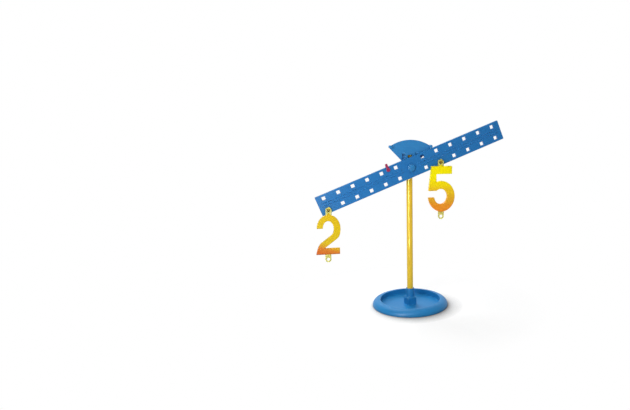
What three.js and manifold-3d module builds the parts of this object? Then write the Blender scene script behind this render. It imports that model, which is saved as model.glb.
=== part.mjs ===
// Math balance: a dish base, an upright post, a dial plate, and a tilting beam with two rows of
// square holes. Flat numerals hang on small pegs that plug into the holes, each at its own distance
// from the pivot, and the side with the larger moment goes down until the beam meets a stop peg.
// Millimetres, +Z up, the front faces -Y. The origin is the middle of the base's underside.

import * as THREE from 'three';
import { mergeVertices } from 'three/addons/utils/BufferGeometryUtils.js';
import Module from 'manifold-3d';

const wasm = await Module();
wasm.setup();

// Clearances
const fit = 0.3; // between a piece and the seat that holds it
const runFit = 0.1; // round the journal that the beam turns on
const overrun = 1; // how far a cut runs past the face that it opens

// Base: a shallow dish whose rim rolls over into a hollow skirt
const recessRadius = 57; // inside of the dish at the rim
const rimLand = 1.4; // flat width of the rim's crest
const skirtReach = 13.6; // how far the skirt spreads outside the crest
const baseHeight = 11.9;
const floorThickness = 1.9;
const recessFillet = 1.2;
const skirtWall = 2.4;
const footHeight = 1.4; // upright edge at the skirt's foot

// Socket in the dish: a square block that narrows into a round sleeve
const blockWidth = 18.5;
const blockHeight = 11.5; // over the dish's floor, up to where the shoulders start
const shoulderHeight = 4.5;
const socketHeight = 30.7; // over the dish's floor
const socketWall = 1.8;
const socketTurn = THREE.MathUtils.degToRad(15); // the round post lets the base stand at any turn

// Post: a round tube
const postRadius = 5.8;
const postWall = 1.4;
const pivotHeight = 265.2; // table to the beam's axis
const postAbovePivot = 21;

// Head bracket: a sleeve on the post with a clip block that carries the dial plate
const sleeveWall = 2.4;
const sleeveBelowPivot = 19;
const clipBlockWidth = 33;
const clipBlockRise = 13.2; // pivot to the block's underside
const clipBlockHeight = 16.4;
const clipBlockDepth = 7;
const clipPocketDepth = 1.6;
const clipStem = 1.4; // thickness of each clip's stem
const clipNose = 1.1; // how far a clip's nose reaches over the plate

// Dial plate: a sector with two clip slots, a window on the post and two stop pegs
const plateThickness = 3;
const dialArcRadius = 66;
const dialArcDrop = 16.6; // centre of that arc, below the pivot
const dialApexDrop = 5; // where the straight sides would meet, below the pivot
const dialSpread = THREE.MathUtils.degToRad(43.7); // from upright to each straight side
const dialCornerRadius = 3.2;
const dialHubRadius = 12;
const slotWidth = 5.6;
const slotHeight = 12.6;
const slotRise = 14; // pivot to the slot's lower end
const slotOffset = 12.4; // middle line to the slot's middle
const windowWidth = 9.2;
const windowHeight = 7;
const windowRise = 15.4; // pivot to the window's lower end
const stopReach = 50.3; // pivot to each stop peg
const stopSpread = THREE.MathUtils.degToRad(43.7); // from upright to each stop peg
const stopRadius = 2.9;

// Beam: a flat bar with two rows of square holes
const beamLength = 360;
const beamWidth = 35.6;
const beamThickness = 6;
const columnsPerSide = 6;
const firstColumn = 26; // pivot to the first column of holes
const endMargin = 14; // last column of holes to the beam's end
const rowOffset = 10.6; // middle line to each row of holes
const holeWidth = 6.5;
const ridgeWidth = 1.2;
const ridgeHeight = 0.7;
const ridgeOffset = 2.6; // middle line to each of the two lengthwise ridges
const ridgeEndMargin = 6; // bare length at the beam's end
const hubRadius = 8;
const hubRise = 1.6; // spacer ring behind the beam, which runs against the dial plate

// Pivot pin: a knob in front, a journal for the beam and a shank through bracket and post
const journalRadius = 3.2;
const shankRadius = 2.4;
const knobRadius = 6.6;
const knobLength = 5.6;
const knobEdge = 1.8; // height of the knob's rounded edge
const tailRadius = 3.2;
const tailLength = 3;
const tailSlit = 1.2;

// Tare rider: a clip that slides along the beam's top edge
const riderPlace = -40.2; // from the pivot, along the beam
const riderFinWidth = 4.4;
const riderFinHeight = 6.2; // above the beam's top edge, in front of the stop pegs
const riderBridgeHeight = 2.4; // above the beam's top edge, low enough to pass under a stop peg
const riderLapWidth = 7.2;
const riderLapHeight = 8.8; // below the beam's top edge, in front
const riderLapThickness = 1.6;
const riderWiden = 2.4; // length over which the fin widens into the lap
const riderLegHeight = 7; // below the beam's top edge, behind
const riderLegThickness = 1.3;

// Hanger pegs: a square shank for the hole, a collar, a journal for the ring and a head
const pegTail = 1; // shank left proud behind the beam
const pegCollarWidth = 7.4;
const pegCollarThickness = 1;
const pegJournalRadius = 1.3;
const pegHeadRadius = 2.2;
const pegHeadThickness = 1.4;

// Numerals: flat plates with a ring at the top and another at the bottom
const ringRadius = 5.4;
const ringHoleRadius = 2.9;
const ringThickness = 3;
const lowRingStand = 9.3; // numeral's foot to the lower ring's centre
const ringRoot = 3; // how far the ring's neck runs into the numeral

// Numeral 2
const twoThickness = 4;
const twoHeight = 72;
const twoRingStand = 8; // numeral's top to the upper ring's centre
const twoArcWidth = 42;
const twoArcRise = 24.5; // half height of the round top
const twoTopStroke = 11.2;
const twoTipStroke = 10.8;
const twoSideStroke = 12.3;
const twoBarLength = 42.4;
const twoBarThickness = 11.5;
const twoBarLeft = 23.5; // arc's middle line to the bar's left corner
const twoNotchLeft = 8.2; // arc's middle line to the corner where the diagonal leaves the bar
const twoDiagonalWidth = 11.4;
const twoDiagonalSlope = THREE.MathUtils.degToRad(36.5);
const twoDiagonalRun = 23; // sideways length of the diagonal's lower edge
const twoHeelLeft = 13.7; // arc's middle line to where the diagonal turns down

// Numeral 5
const fiveThickness = 7.6;
const fiveHeight = 83.4;
const fiveRingStand = 6.7; // numeral's top to the upper ring's centre
const fiveBowlWidth = 49.2;
const fiveBowlHeight = 56.4;
const fiveTopStroke = 14.5;
const fiveBottomStroke = 13.9;
const fiveSideStroke = 14;
const fiveTipStroke = 11;
const fiveBarThickness = 14.4;
const fiveBarLeft = 18.6; // bowl's middle line to the bar's left end
const fiveBarRight = 19.4;
const fiveStemInner = 9.5; // bowl's middle line to the stem's inner edge
const fiveFootLeft = 24.2; // bowl's middle line to the stem's foot
const fiveFootHeight = 38.6;
const fiveTipHeight = 26.4;

// Facets on round work
const fineSides = 72;
const roundSides = 36;
const smallSides = 24;
const arcSteps = 16;
const skirtSteps = 14;
const hollowSteps = 7;
const edgeSteps = 5;

// Places that follow from the sizes above, with depths counted forwards from the post's axis
const rimRadius = recessRadius + rimLand;
const baseRadius = rimRadius + skirtReach;
const postTop = pivotHeight + postAbovePivot;
const sleeveBore = postRadius + fit;
const sleeveRadius = sleeveBore + sleeveWall;
const plateBack = sleeveRadius + fit;
const plateFront = plateBack + plateThickness;
const hubBack = plateFront + fit;
const beamBack = hubBack + hubRise;
const beamFront = beamBack + beamThickness;
const knobBack = beamFront + fit;
const collarBack = beamFront + fit;
const numeralBack = collarBack + pegCollarThickness + fit;
const halfLength = beamLength / 2;
const halfWidth = beamWidth / 2;
const lastColumn = halfLength - endMargin;
const columnPitch = (lastColumn - firstColumn) / (columnsPerSide - 1);
const stopTurn = Math.acos((halfWidth + stopRadius + fit) / stopReach);
const beamTilt = stopTurn - stopSpread; // the left side is down, so the right peg stops the beam
const ringHang = ringHoleRadius - pegJournalRadius - fit; // ring's centre below the peg's axis

// Solids: a closed geometry with its shared corners merged and its faces turned outwards
function toSolid(geometry) {
  const bare = geometry.clone();
  bare.deleteAttribute('normal');
  bare.deleteAttribute('uv');
  const merged = mergeVertices(bare);
  const places = merged.getAttribute('position');
  const corners = Array.from(merged.index.array);
  const triangles = corners.filter((corner, i) => {
    const first = i - (i % 3);
    const [a, b, c] = corners.slice(first, first + 3);
    return a !== b && b !== c && c !== a;
  });
  if (signedVolume(places, triangles) < 0) {
    triangles.reverse();
  }
  const mesh = new wasm.Mesh({
    numProp: 3,
    vertProperties: new Float32Array(places.array),
    triVerts: new Uint32Array(triangles),
  });
  return new wasm.Manifold(mesh);
}

function signedVolume(places, triangles) {
  const [a, b, c] = [new THREE.Vector3(), new THREE.Vector3(), new THREE.Vector3()];
  let volume = 0;
  for (let i = 0; i < triangles.length; i += 3) {
    a.fromBufferAttribute(places, triangles[i]);
    b.fromBufferAttribute(places, triangles[i + 1]);
    c.fromBufferAttribute(places, triangles[i + 2]);
    volume += a.dot(b.cross(c)) / 6;
  }
  return volume;
}

function toGeometry(solid) {
  const mesh = solid.getMesh();
  const geometry = new THREE.BufferGeometry();
  geometry.setAttribute('position', new THREE.BufferAttribute(new Float32Array(mesh.vertProperties), 3));
  geometry.setIndex(Array.from(mesh.triVerts));
  geometry.computeVertexNormals();
  return geometry;
}

function join(...solids) {
  return solids.reduce((whole, piece) => whole.add(piece));
}

function cut(solid, ...tools) {
  return tools.reduce((whole, tool) => whole.subtract(tool), solid);
}

// A box from its middle and its three widths
function box(x, y, z, width, depth, height) {
  const geometry = new THREE.BoxGeometry(width, depth, height);
  geometry.translate(x, y, z);
  return toSolid(geometry);
}

// An outline in X and Z, made as deep as the space between two depths in front of the post's axis
function slab(outline, nearDepth, farDepth, steps = arcSteps) {
  const geometry = new THREE.ExtrudeGeometry(outline, {
    depth: farDepth - nearDepth,
    bevelEnabled: false,
    curveSegments: steps,
  });
  geometry.rotateX(Math.PI / 2);
  geometry.translate(0, -nearDepth, 0);
  return toSolid(geometry);
}

// A profile of [radius, height] pairs turned about the Z axis
function turned(profile, sides) {
  const geometry = new THREE.LatheGeometry(profile.map(([r, z]) => new THREE.Vector2(r, z)), sides);
  geometry.rotateX(Math.PI / 2);
  return toSolid(geometry);
}

// A profile of [radius, depth] pairs turned about a line along Y through X and Z
function turnedForward(profile, sides, x, z) {
  const geometry = new THREE.LatheGeometry(profile.map(([r, d]) => new THREE.Vector2(r, -d)), sides);
  geometry.translate(x, 0, z);
  return toSolid(geometry);
}

// A round bar along Y through X and Z, between two depths
function bar(radius, nearDepth, farDepth, sides, x, z) {
  const profile = [[0, nearDepth], [radius, nearDepth], [radius, farDepth], [0, farDepth]];
  return turnedForward(profile, sides, x, z);
}

// A cross hole for the pivot pin's shank between two depths
function shankHole(nearDepth, farDepth) {
  return bar(shankRadius + fit, nearDepth - overrun, farDepth + overrun, smallSides, 0, pivotHeight);
}

// A box between two depths in front of the post's axis
function block(x, z, width, height, nearDepth, farDepth) {
  return box(x, -(nearDepth + farDepth) / 2, z, width, farDepth - nearDepth, height);
}

// Turns from level to upright, for the rounded edges
function quarter(steps) {
  return Array.from({ length: steps + 1 }, (_, i) => (i / steps) * (Math.PI / 2));
}

// Base with its socket
function makeBase() {
  const skirtRise = baseHeight - footHeight;
  const skirt = (inset, turn) => [
    rimRadius + (skirtReach - inset) * Math.cos(turn),
    footHeight + (skirtRise - inset) * Math.sin(turn),
  ];
  const fillet = quarter(edgeSteps).map((turn) => [
    recessRadius - recessFillet + recessFillet * Math.cos(turn),
    floorThickness + recessFillet - recessFillet * Math.sin(turn),
  ]);
  const hollowStart = recessRadius + skirtWall;
  const hollow = quarter(hollowSteps).map((turn) => skirt(skirtWall, turn)).filter(([r]) => r > hollowStart);
  const hollowTop = hollow[hollow.length - 1][1];
  const dish = turned([
    [0, 0],
    [hollowStart, 0],
    [hollowStart, hollowTop],
    ...hollow.reverse(),
    [baseRadius - skirtWall, 0],
    [baseRadius, 0],
    ...quarter(skirtSteps).map((turn) => skirt(0, turn)),
    [recessRadius, baseHeight],
    ...fillet,
    [0, floorThickness],
  ], fineSides);

  const root = floorThickness / 2;
  const blockTop = floorThickness + blockHeight;
  const shoulderTop = blockTop + shoulderHeight;
  const socketRadius = sleeveBore + socketWall;
  const foot = box(0, 0, (root + shoulderTop) / 2, blockWidth, blockWidth, shoulderTop - root);
  const shoulders = turned([
    [0, root - overrun],
    [blockWidth, root - overrun],
    [blockWidth, blockTop - overrun],
    [blockWidth / Math.SQRT2, blockTop],
    [socketRadius, shoulderTop],
    [0, shoulderTop],
  ], fineSides);
  const sleeve = turned([
    [0, root],
    [socketRadius, root],
    [socketRadius, floorThickness + socketHeight],
    [0, floorThickness + socketHeight],
  ], roundSides);
  const bore = turned([
    [0, floorThickness],
    [sleeveBore, floorThickness],
    [sleeveBore, floorThickness + socketHeight + overrun],
    [0, floorThickness + socketHeight + overrun],
  ], roundSides);
  const turn = THREE.MathUtils.radToDeg(socketTurn);
  const socket = join(foot.intersect(shoulders), sleeve).rotate([0, 0, turn]);
  return cut(join(dish, socket), bore);
}

// Post with the cross hole for the pivot pin
function makePost() {
  const bottom = floorThickness + fit;
  const bore = postRadius - postWall;
  const tube = turned([
    [bore, bottom],
    [postRadius, bottom],
    [postRadius, postTop],
    [bore, postTop],
    [bore, bottom],
  ], roundSides);
  return cut(tube, shankHole(-postRadius, postRadius));
}

// Head bracket: sleeve, clip block with a pocket behind each slot, and one clip in each pocket
function makeBracket() {
  const sleeveBottom = pivotHeight - sleeveBelowPivot;
  const blockBottom = pivotHeight + clipBlockRise;
  const blockTop = blockBottom + clipBlockHeight;
  const blockMiddle = (blockBottom + blockTop) / 2;
  const blockBack = sleeveRadius - clipBlockDepth;
  const sleeve = turned([
    [0, sleeveBottom],
    [sleeveRadius, sleeveBottom],
    [sleeveRadius, blockTop],
    [0, blockTop],
  ], roundSides);
  const clipBlock = block(0, blockMiddle, clipBlockWidth, clipBlockHeight, blockBack, sleeveRadius);
  const bore = turned([
    [0, sleeveBottom - overrun],
    [sleeveBore, sleeveBottom - overrun],
    [sleeveBore, blockTop + overrun],
    [0, blockTop + overrun],
  ], roundSides);
  const windowMiddle = pivotHeight + windowRise + windowHeight / 2;
  const window = block(0, windowMiddle, windowWidth, windowHeight, 0, sleeveRadius + overrun);

  const slotMiddle = pivotHeight + slotRise + slotHeight / 2;
  const pocketBack = sleeveRadius - clipPocketDepth;
  const noseBack = plateFront + fit;
  const noseFront = noseBack + clipNose;
  const clipWidth = slotWidth - 2 * fit;
  const stemZ = slotMiddle + slotHeight / 2 - fit - clipStem / 2;
  const noseZ = stemZ + clipNose / 2;
  let bracket = cut(join(sleeve, clipBlock), bore, window, shankHole(-sleeveRadius, sleeveRadius));
  for (const side of [-1, 1]) {
    const x = side * slotOffset;
    const pocket = block(x, slotMiddle, slotWidth, slotHeight, pocketBack, sleeveRadius + overrun);
    const stem = block(x, stemZ, clipWidth, clipStem, pocketBack - overrun, noseFront);
    const nose = block(x, noseZ, clipWidth, clipStem + clipNose, noseBack, noseFront);
    bracket = join(cut(bracket, pocket), stem, nose);
  }
  return bracket;
}

// Dial plate with its stop pegs
function makeDialPlate() {
  const pivot = pivotHeight;
  const arcCentre = pivot - dialArcDrop;
  const apex = pivot - dialApexDrop;
  const apexRise = apex - arcCentre;
  const along = apexRise * Math.cos(dialSpread);
  const across = apexRise * Math.sin(dialSpread);
  // Each corner is an arc that touches the straight side, at its spread from upright, and the dial's arc
  const round = dialCornerRadius;
  const sideLength = Math.sqrt((dialArcRadius - round) ** 2 - (across + round) ** 2) - along;
  const sideX = sideLength * Math.sin(dialSpread);
  const sideZ = apex + sideLength * Math.cos(dialSpread);
  const cornerX = sideX - round * Math.cos(dialSpread);
  const cornerZ = sideZ + round * Math.sin(dialSpread);
  const cornerTurn = Math.atan2(cornerZ - arcCentre, cornerX);
  const sector = new THREE.Shape();
  sector.moveTo(0, apex);
  sector.lineTo(sideX, sideZ);
  sector.absarc(cornerX, cornerZ, round, -dialSpread, cornerTurn, false);
  sector.absarc(0, arcCentre, dialArcRadius, cornerTurn, Math.PI - cornerTurn, false);
  sector.absarc(-cornerX, cornerZ, round, Math.PI - cornerTurn, Math.PI + dialSpread, false);
  sector.closePath();
  let plate = join(
    slab(sector, plateBack, plateFront, fineSides / 2),
    bar(dialHubRadius, plateBack, plateFront, roundSides, 0, pivot),
  );
  for (const side of [-1, 1]) {
    const x = side * stopReach * Math.sin(stopSpread);
    const z = pivot + stopReach * Math.cos(stopSpread);
    plate = join(plate, bar(stopRadius, plateBack, beamFront - fit, smallSides, x, z));
  }
  const cutBack = plateBack - overrun;
  const cutFront = plateFront + overrun;
  const slotZ = pivot + slotRise + slotHeight / 2;
  const windowZ = pivot + windowRise + windowHeight / 2;
  const leftSlot = block(-slotOffset, slotZ, slotWidth, slotHeight, cutBack, cutFront);
  const rightSlot = block(slotOffset, slotZ, slotWidth, slotHeight, cutBack, cutFront);
  const window = block(0, windowZ, windowWidth, windowHeight, cutBack, cutFront);
  return cut(plate, shankHole(plateBack, plateFront), leftSlot, rightSlot, window);
}

// Beam, in its own frame: X along it and Z across it, from the pivot
function columnPlaces() {
  const places = [];
  for (let column = 0; column < columnsPerSide; column += 1) {
    const distance = firstColumn + column * columnPitch;
    places.push(-distance, distance);
  }
  return places;
}

function makeBeam() {
  const outline = new THREE.Shape();
  outline.moveTo(-halfLength, -halfWidth);
  outline.lineTo(halfLength, -halfWidth);
  outline.lineTo(halfLength, halfWidth);
  outline.lineTo(-halfLength, halfWidth);
  outline.closePath();
  const flat = slab(outline, beamBack, beamFront);
  const holes = columnPlaces().flatMap((x) => [-rowOffset, rowOffset].map((z) => {
    return block(x, z, holeWidth, holeWidth, beamBack - overrun, beamFront + overrun);
  }));
  const ridgeStart = hubRadius + ridgeEndMargin;
  const ridgeLength = halfLength - ridgeEndMargin - ridgeStart;
  const ridgeFront = beamFront + ridgeHeight;
  const ridges = [];
  for (const side of [-1, 1]) {
    for (const z of [-ridgeOffset, ridgeOffset]) {
      const x = side * (ridgeStart + ridgeLength / 2);
      ridges.push(block(x, z, ridgeLength, ridgeWidth, beamFront - overrun, ridgeFront));
    }
  }
  const hub = bar(hubRadius, hubBack, beamBack + overrun, roundSides, 0, 0);
  const bore = bar(journalRadius + runFit, hubBack - overrun, beamFront + overrun, smallSides, 0, 0);
  return cut(join(flat, hub, ...ridges), bore, ...holes);
}

// Pivot pin, turned in one piece, with a slit tail that snaps behind the bracket
function makePin() {
  const knobFront = knobBack + knobLength;
  const edge = quarter(edgeSteps).map((turn) => [
    knobRadius - knobEdge + knobEdge * Math.cos(turn),
    knobFront - knobEdge + knobEdge * Math.sin(turn),
  ]);
  const tailStart = -(sleeveRadius + fit);
  const pin = turnedForward([
    [0, tailStart - tailLength],
    [shankRadius - fit, tailStart - tailLength],
    [tailRadius, tailStart - tailLength / 3],
    [tailRadius, tailStart],
    [shankRadius, tailStart],
    [shankRadius, hubBack],
    [journalRadius, hubBack],
    [journalRadius, knobBack],
    [knobRadius, knobBack],
    ...edge,
    [0, knobFront],
  ], roundSides, 0, pivotHeight);
  const slitHeight = 2 * (tailRadius + overrun);
  const slitBack = tailStart - tailLength - overrun;
  return cut(pin, block(0, pivotHeight, tailSlit, slitHeight, slitBack, tailStart + sleeveWall));
}

// Tare rider, in the beam's frame
function makeRider() {
  const lapBack = beamFront + fit;
  const lapFront = lapBack + riderLapThickness;
  const legFront = beamBack - fit;
  const legBack = legFront - riderLegThickness;
  const finTop = halfWidth + riderFinHeight;
  const lapBottom = halfWidth - riderLapHeight;
  const lapTop = halfWidth - riderWiden;
  const round = riderLapWidth / 2;
  const face = new THREE.Shape();
  face.moveTo(riderPlace - riderFinWidth / 2, finTop);
  face.lineTo(riderPlace - riderFinWidth / 2, lapTop);
  face.lineTo(riderPlace - riderLapWidth / 2, lapTop - riderWiden);
  face.absarc(riderPlace, lapBottom + round, round, Math.PI, Math.PI * 2, false);
  face.lineTo(riderPlace + riderLapWidth / 2, lapTop - riderWiden);
  face.lineTo(riderPlace + riderFinWidth / 2, lapTop);
  face.lineTo(riderPlace + riderFinWidth / 2, finTop);
  face.closePath();
  const lap = slab(face, lapBack, lapFront);
  const bridgeTop = halfWidth + riderBridgeHeight;
  const bridgeThickness = riderBridgeHeight - fit;
  const bridgeZ = bridgeTop - bridgeThickness / 2;
  const bridge = block(riderPlace, bridgeZ, riderFinWidth, bridgeThickness, legBack, lapFront);
  const legHeight = riderBridgeHeight + riderLegHeight;
  const leg = block(riderPlace, bridgeTop - legHeight / 2, riderFinWidth, legHeight, legBack, legFront);
  return join(lap, bridge, leg);
}

// Hanger peg in the hole at X and Z of the beam's frame
function makePeg(x, z) {
  const shankWidth = holeWidth - 2 * fit;
  const shankBack = beamBack - pegTail;
  const collarFront = collarBack + pegCollarThickness;
  const headBack = collarFront + 2 * fit + ringThickness;
  const shank = block(x, z, shankWidth, shankWidth, shankBack, collarFront);
  const collar = block(x, z, pegCollarWidth, pegCollarWidth, collarBack, collarFront);
  const journal = bar(pegJournalRadius, collarBack, headBack + pegHeadThickness, smallSides, x, z);
  const head = bar(pegHeadRadius, headBack, headBack + pegHeadThickness, smallSides, x, z);
  return join(shank, collar, journal, head);
}

// Numerals, each in a frame whose origin is the axis of the peg that it hangs on
function ringTab(x, z, rootZ) {
  const tab = new THREE.Shape();
  tab.moveTo(x - ringRadius, rootZ);
  tab.lineTo(x - ringRadius, z);
  tab.absarc(x, z, ringRadius, Math.PI, 0, z > rootZ);
  tab.lineTo(x + ringRadius, rootZ);
  tab.closePath();
  return tab;
}

function middleX(outline) {
  const points = outline.getPoints(arcSteps);
  let area = 0;
  let moment = 0;
  points.forEach((point, i) => {
    const next = points[(i + 1) % points.length];
    const slice = point.x * next.y - next.x * point.y;
    area += slice;
    moment += (point.x + next.x) * slice;
  });
  return moment / (3 * area);
}

function makeNumeral(outline, height, thickness, ringStand, lowX) {
  // The upper ring stands over the outline's centre, so the numeral hangs upright
  const topX = middleX(outline);
  const top = height + ringStand;
  const ringFront = numeralBack + ringThickness;
  const plate = slab(outline, numeralBack, numeralBack + thickness);
  const tabs = [ringTab(topX, top, height - ringRoot), ringTab(lowX, -lowRingStand, ringRoot)];
  const rings = tabs.map((tab) => slab(tab, numeralBack, ringFront));
  const holes = [[topX, top], [lowX, -lowRingStand]].map(([x, z]) => {
    return bar(ringHoleRadius, numeralBack - overrun, ringFront + overrun, smallSides, x, z);
  });
  return cut(join(plate, ...rings), ...holes).translate([-topX, 0, -(top + ringHang)]);
}

function outlineTwo() {
  const radius = twoArcWidth / 2;
  const arcHeight = twoHeight - twoArcRise;
  const innerLeft = radius - twoTipStroke;
  const innerRight = radius - twoSideStroke;
  const innerMiddle = (innerRight - innerLeft) / 2;
  const innerRadius = (innerRight + innerLeft) / 2;
  const innerRise = twoArcRise - twoTopStroke;
  const slope = Math.tan(twoDiagonalSlope);
  const lowX = twoDiagonalRun - twoNotchLeft;
  const lowZ = twoBarThickness + twoDiagonalRun * slope;
  const lift = twoDiagonalWidth / Math.cos(twoDiagonalSlope);
  const upperEdge = (x) => twoBarThickness + lift + (x + twoNotchLeft) * slope;
  const bendX = innerMiddle + innerRadius / 2;
  const heelZ = upperEdge(-twoHeelLeft);
  const heelTurnX = -(twoHeelLeft + twoBarLeft) / 2 - (twoBarLeft - twoHeelLeft) / 6;
  const outline = new THREE.Shape();
  outline.moveTo(-twoBarLeft, 0);
  outline.lineTo(twoBarLength - twoBarLeft, 0);
  outline.lineTo(twoBarLength - twoBarLeft, twoBarThickness);
  outline.lineTo(-twoNotchLeft, twoBarThickness);
  outline.lineTo(lowX, lowZ);
  outline.quadraticCurveTo(radius, lowZ + (radius - lowX) * slope, radius, arcHeight);
  outline.absellipse(0, arcHeight, radius, twoArcRise, 0, Math.PI, false, 0);
  outline.lineTo(-innerLeft, arcHeight);
  outline.absellipse(innerMiddle, arcHeight, innerRadius, innerRise, Math.PI, 0, true, 0);
  outline.quadraticCurveTo(innerRight, upperEdge(innerRight), bendX, upperEdge(bendX));
  outline.lineTo(-twoHeelLeft, heelZ);
  outline.quadraticCurveTo(heelTurnX, upperEdge(heelTurnX), -twoBarLeft, 0);
  outline.closePath();
  return outline;
}

function outlineFive() {
  const outerX = fiveBowlWidth / 2;
  const outerZ = fiveBowlHeight / 2;
  const innerX = (fiveBowlWidth - fiveSideStroke - fiveTipStroke) / 2;
  const innerZ = (fiveBowlHeight - fiveTopStroke - fiveBottomStroke) / 2;
  const innerMiddleX = (fiveTipStroke - fiveSideStroke) / 2;
  const innerMiddleZ = fiveBottomStroke + innerZ;
  const footTurn = Math.PI - Math.asin((fiveFootHeight - innerMiddleZ) / innerZ);
  const tipTurnIn = -Math.PI - Math.asin((fiveTipHeight - innerMiddleZ) / innerZ);
  const tipTurnOut = -Math.PI - Math.asin((fiveTipHeight - outerZ) / outerZ);
  const stemTurn = Math.acos(-fiveStemInner / outerX);
  const barBottom = fiveHeight - fiveBarThickness;
  const outline = new THREE.Shape();
  outline.moveTo(-fiveBarLeft, fiveHeight);
  outline.lineTo(-fiveFootLeft, fiveFootHeight);
  outline.absellipse(innerMiddleX, innerMiddleZ, innerX, innerZ, footTurn, tipTurnIn, true, 0);
  outline.absellipse(0, outerZ, outerX, outerZ, tipTurnOut, stemTurn, false, 0);
  outline.lineTo(-fiveStemInner, barBottom);
  outline.lineTo(fiveBarRight, barBottom);
  outline.lineTo(fiveBarRight, fiveHeight);
  outline.closePath();
  return outline;
}

// Finishes
function plastic(colour, roughness) {
  return new THREE.MeshStandardMaterial({ color: colour, roughness, metalness: 0 });
}
const finishes = {
  blue: plastic(0x2f72b4, 0.38),
  paleBlue: plastic(0x4a8fca, 0.38),
  yellow: plastic(0xf0c818, 0.3),
  magenta: plastic(0x963264, 0.4),
  numeral: plastic(0xf2b01c, 0.4),
};

function piece(name, solid, finish) {
  const mesh = new THREE.Mesh(toGeometry(solid), finish);
  mesh.name = name;
  return mesh;
}

// Assembly: the stand, the tilted beam with what it carries, and the numerals hanging upright
const balance = new THREE.Group();
balance.add(
  piece('base', makeBase(), finishes.paleBlue),
  piece('post_tube', makePost(), finishes.yellow),
  piece('head_bracket', makeBracket(), finishes.blue),
  piece('dial_plate', makeDialPlate(), finishes.paleBlue),
  piece('pivot_pin', makePin(), finishes.paleBlue),
);

const secondColumn = firstColumn + columnPitch;
const leftHanger = new THREE.Vector3(-lastColumn, 0, -rowOffset);
const rightHanger = new THREE.Vector3(secondColumn, 0, -rowOffset);

const tilted = new THREE.Group();
tilted.position.set(0, 0, pivotHeight);
tilted.rotation.y = -beamTilt;
tilted.add(
  piece('beam', makeBeam(), finishes.blue),
  piece('tare_rider', makeRider(), finishes.magenta),
  piece('hanger_peg_left', makePeg(leftHanger.x, leftHanger.z), finishes.yellow),
  piece('hanger_peg_right', makePeg(rightHanger.x, rightHanger.z), finishes.yellow),
);
balance.add(tilted);

const twoFootMiddle = twoBarLength / 2 - twoBarLeft;
const two = makeNumeral(outlineTwo(), twoHeight, twoThickness, twoRingStand, twoFootMiddle);
const five = makeNumeral(outlineFive(), fiveHeight, fiveThickness, fiveRingStand, 0);
const numeralTwo = piece('numeral_2', two, finishes.numeral);
const numeralFive = piece('numeral_5', five, finishes.numeral);
for (const [numeral, hanger] of [[numeralTwo, leftHanger], [numeralFive, rightHanger]]) {
  numeral.position.copy(hanger).applyEuler(tilted.rotation).add(tilted.position);
  balance.add(numeral);
}

export default balance;
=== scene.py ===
# %% [markdown]
# # A math balance in a white studio
# The real object is a classroom toy of coloured, injection-moulded plastic. A blue dish base holds a
# yellow tube, and on the tube's head a blue beam with square holes tilts in front of a fan-shaped dial.
# Numerals with a ring at each end hang on pegs in the holes. The measured model gives every place and
# size, and this lesson gives each piece its fine surface: rounded moulding edges, smooth curves, and
# plastics that shine as the real ones do.

# %% The measured model
import math

import bmesh
import bpy
import numpy as np
from mathutils import Matrix, Vector
from mathutils.geometry import tessellate_polygon


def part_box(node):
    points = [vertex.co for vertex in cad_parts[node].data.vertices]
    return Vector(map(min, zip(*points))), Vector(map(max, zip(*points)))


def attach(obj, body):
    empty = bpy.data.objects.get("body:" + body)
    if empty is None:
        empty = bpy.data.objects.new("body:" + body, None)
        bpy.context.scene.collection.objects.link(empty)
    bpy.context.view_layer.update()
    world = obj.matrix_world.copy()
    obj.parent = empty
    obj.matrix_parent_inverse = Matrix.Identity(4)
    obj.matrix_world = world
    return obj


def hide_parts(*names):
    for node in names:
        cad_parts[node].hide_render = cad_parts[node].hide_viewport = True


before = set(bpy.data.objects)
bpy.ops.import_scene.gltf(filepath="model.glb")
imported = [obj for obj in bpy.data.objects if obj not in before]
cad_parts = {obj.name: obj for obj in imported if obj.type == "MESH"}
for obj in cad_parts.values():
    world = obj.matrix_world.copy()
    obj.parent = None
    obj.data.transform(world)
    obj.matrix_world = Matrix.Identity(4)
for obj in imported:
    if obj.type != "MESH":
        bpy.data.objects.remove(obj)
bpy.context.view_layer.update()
MM = 0.001
print("CAD pieces:", ", ".join(sorted(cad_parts)))

# %% [markdown]
# ## The camera
# The photograph was taken from a little to the left and a little above, with a slightly wide lens. The
# camera's place was worked out from the evenly spaced holes, the tube and the base's circles. The balance
# stands right of the picture's middle, so the lens is shifted sideways, which moves the picture without
# turning the view.

# %% Camera
IMAGE_WIDTH, IMAGE_HEIGHT = 630, 410
FOCAL_PIXELS = 525.31
CENTRE_X, CENTRE_Y = 410.0, 215.15
AZIMUTH, ELEVATION, ROLL = map(math.radians, (-10.3, 10.24, -0.38))
CAMERA_PLACE = Vector((-172.40, -952.80, 349.28)) * MM
SENSOR_WIDTH = 36
NEAREST, FURTHEST = 0.05, 20


def direction(azimuth, elevation):
    """The unit vector towards an azimuth, counted from the front to the right, and an elevation, in radians:
    x = sin a cos e, y = -cos a cos e, z = sin e."""
    flat = math.cos(elevation)
    return Vector((math.sin(azimuth) * flat, -math.cos(azimuth) * flat, math.sin(elevation)))


back = direction(AZIMUTH, ELEVATION)
level = Vector((math.cos(AZIMUTH), math.sin(AZIMUTH), 0))
upright = back.cross(level)
right = math.cos(ROLL) * level + math.sin(ROLL) * upright
up = math.cos(ROLL) * upright - math.sin(ROLL) * level
turn = Matrix((right, up, back)).transposed().to_4x4()

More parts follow.
